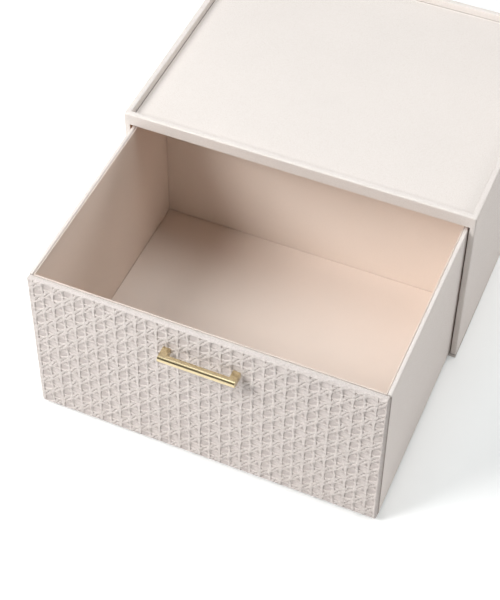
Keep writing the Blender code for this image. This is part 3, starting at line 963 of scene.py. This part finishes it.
def makeHandle(shape):
    low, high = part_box("handle_bar")
    barBack = low.y + shape["barDepth"]
    innerX = high.x - shape["legWidth"]
    bm = bmesh.new()
    addBox(bm, low, (high.x, barBack, high.z))
    cutAcross(bm, 0, -innerX)
    cutAcross(bm, 0, innerX)
    ends = facesWhere(bm, lambda at, way: near(at.y, barBack) and abs(at.x) > innerX)
    pushFaces(bm, ends, (0, high.y + shape["pressedIn"] - barBack, 0))
    roundEdges(bm, edgesWhere(bm, lambda co: near(co.y, low.y) and near(co.z, high.z))
               + edgesWhere(bm, lambda co: near(co.y, low.y) and near(co.z, low.z)),
               shape["frontRounding"], 8)
    sharp = [edge for edge in bm.edges if edge.calc_face_angle(0) > shape["sharpFrom"]]
    roundEdges(bm, sharp, shape["edgeRounding"], 3)
    bmesh.ops.recalc_face_normals(bm, faces=bm.faces[:])
    return finishPiece(shape, bm, satinBrass)


handlePull = makeHandle(handleShape)

# boards and screws keep the model's own shapes
nodeFinish = {
    "case_base_board": greyBoard, "case_left_core": greyBoard, "case_right_core": greyBoard,
    "case_back_core": greyBoard, "case_rail_core": greyBoard, "case_top_core": greyBoard,
    "drawer_left_core": greyBoard, "drawer_right_core": greyBoard,
    "drawer_back_core": greyBoard, "drawer_bottom_board": greyBoard,
    "front_panel_board": greyBoard,
    "handle_screw_left": zincSteel, "handle_screw_right": zincSteel,
}
for name, material in nodeFinish.items():
    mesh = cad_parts[name].data
    mesh.materials.clear()
    mesh.materials.append(material)
print("handle, boards and screws made")


# floor, world and lamps

floorShape = {
    "size": 8.0,
    "colour": paint(245, 245, 245),
    "liftColour": (0.95, 1.0, 0.98, 1.0),
    "lift": 0.21,               # a little light added for the camera, so the paper stays white
}


def addSeenMask(tree):
    # 1 for what the camera sees, directly or in gloss or glass, and 0 for light on the object
    rays = tree.nodes.new("ShaderNodeLightPath")
    seen = addNode(tree, "ShaderNodeMath", {"operation": "MAXIMUM"})
    both = addNode(tree, "ShaderNodeMath", {"operation": "MAXIMUM"})
    tree.links.new(rays.outputs["Is Camera Ray"], seen.inputs[0])
    tree.links.new(rays.outputs["Is Glossy Ray"], seen.inputs[1])
    tree.links.new(seen.outputs["Value"], both.inputs[0])
    tree.links.new(rays.outputs["Is Transmission Ray"], both.inputs[1])
    return both.outputs["Value"]


def makeFloor(shape):
    bm = bmesh.new()
    bmesh.ops.create_grid(bm, x_segments=1, y_segments=1, size=shape["size"] / 2)
    mesh = bpy.data.meshes.new("paperFloor")
    bm.to_mesh(mesh)
    bm.free()
    floor = bpy.data.objects.new("paperFloor", mesh)
    bpy.context.scene.collection.objects.link(floor)
    material, tree, shader = startMaterial(
        "whitePaper", Base_Color=shape["colour"], Roughness=0.9, Specular_IOR_Level=0.1,
        Emission_Color=shape["liftColour"])
    glow = addNode(tree, "ShaderNodeMath", {"operation": "MULTIPLY"})
    glow.inputs[1].default_value = shape["lift"]
    tree.links.new(addSeenMask(tree), glow.inputs[0])
    tree.links.new(glow.outputs["Value"], shader.inputs["Emission Strength"])
    mesh.materials.append(material)


makeFloor(floorShape)

studio = {
    "ambient": 0.088,
    "ambientColour": (1.0, 0.94, 0.89, 1.0),
    "aim": (0, -0.1, 0.1),
    # turn is the compass angle from straight in front towards the right, rise the height angle
    "lampSize": 1.2,
    "lampDistance": 2.4,
    "lamps": {
        "keyLamp": {"turn": -45, "rise": 40, "watts": 52.0},
        "backLamp": {"turn": 135, "rise": 25, "watts": 17.8, "colour": (1.0, 0.955, 0.93)},
        "rightLamp": {"turn": 90, "rise": 75, "watts": 10.3},
        "topLamp": {"turn": 0, "rise": 90, "watts": 11.6, "colour": (0.80, 0.93, 1.0)},
        "frontLamp": {"turn": -10, "rise": 20, "watts": 2.5},
    },
    # cards that only show as reflections in the brass bar
    "cardDistance": 3.2,
    "cards": {
        "frontCard": {"turn": -20, "rise": 30, "size": 3.8, "light": 0.16},
        "rearCard": {"turn": 206, "rise": 52, "size": 2.6, "light": 0.53},
    },
}


def makeWorld(strength, colour):
    world = bpy.data.worlds.new("studioAir")
    bpy.context.scene.world = world
    world.use_nodes = True
    tree = world.node_tree
    tree.nodes.clear()
    output = tree.nodes.new("ShaderNodeOutputWorld")
    air = addNode(tree, "ShaderNodeBackground", Color=colour, Strength=strength)
    shown = addNode(tree, "ShaderNodeBackground", Color=(1, 1, 1, 1), Strength=1.0)
    mix = tree.nodes.new("ShaderNodeMixShader")
    tree.links.new(addSeenMask(tree), mix.inputs["Fac"])
    tree.links.new(air.outputs["Background"], mix.inputs[1])
    tree.links.new(shown.outputs["Background"], mix.inputs[2])
    tree.links.new(mix.outputs["Shader"], output.inputs["Surface"])


def wayOut(spot):
    turn, rise = math.radians(spot["turn"]), math.radians(spot["rise"])
    return Vector((math.cos(rise) * math.sin(turn), -math.cos(rise) * math.cos(turn),
                   math.sin(rise)))


def makeLamp(name, lamp):
    way = wayOut(lamp)
    data = bpy.data.lights.new(name, "AREA")
    data.shape = "DISK"
    data.size = studio["lampSize"]
    data.energy = lamp["watts"]
    data.color = lamp.get("colour", (1.0, 1.0, 1.0))
    light = bpy.data.objects.new(name, data)
    light.location = Vector(studio["aim"]) + way * studio["lampDistance"]
    light.rotation_euler = (-way).to_track_quat("-Z", "Y").to_euler()
    bpy.context.scene.collection.objects.link(light)
    return light


def spareFromLamps(lights, piece):
    # the polished bar would show these lamps as a glare, so the cards light it instead
    spared = bpy.data.collections.new("spared")
    spared.objects.link(piece)
    spared.collection_objects[0].light_linking.link_state = "EXCLUDE"
    for light in lights:
        light.light_linking.receiver_collection = spared


def makeCard(name, card):
    way = wayOut(card)
    bm = bmesh.new()
    bmesh.ops.create_grid(bm, x_segments=1, y_segments=1, size=card["size"] / 2)
    turned = way.to_track_quat("Z", "Y").to_matrix()
    bmesh.ops.rotate(bm, matrix=turned, verts=bm.verts[:])
    bmesh.ops.translate(bm, vec=Vector(studio["aim"]) + way * studio["cardDistance"],
                        verts=bm.verts[:])
    mesh = bpy.data.meshes.new(name)
    bm.to_mesh(mesh)
    bm.free()
    material, tree, shader = startMaterial(
        name, Base_Color=(0, 0, 0, 1), Roughness=1.0, Specular_IOR_Level=0.0,
        Emission_Color=(1, 1, 1, 1), Emission_Strength=card["light"])
    mesh.materials.append(material)
    board = bpy.data.objects.new(name, mesh)
    board.visible_camera = board.visible_diffuse = board.visible_shadow = False
    board.visible_transmission = False
    bpy.context.scene.collection.objects.link(board)


makeWorld(studio["ambient"], studio["ambientColour"])
lamps = {name: makeLamp(name, lamp) for name, lamp in studio["lamps"].items()}
spareFromLamps([lamps["keyLamp"], lamps["frontLamp"]], handlePull)
for name, card in studio["cards"].items():
    makeCard(name, card)
bpy.context.scene.view_settings.view_transform = "Standard"
print("studio made")

bpy.context.view_layer.update()
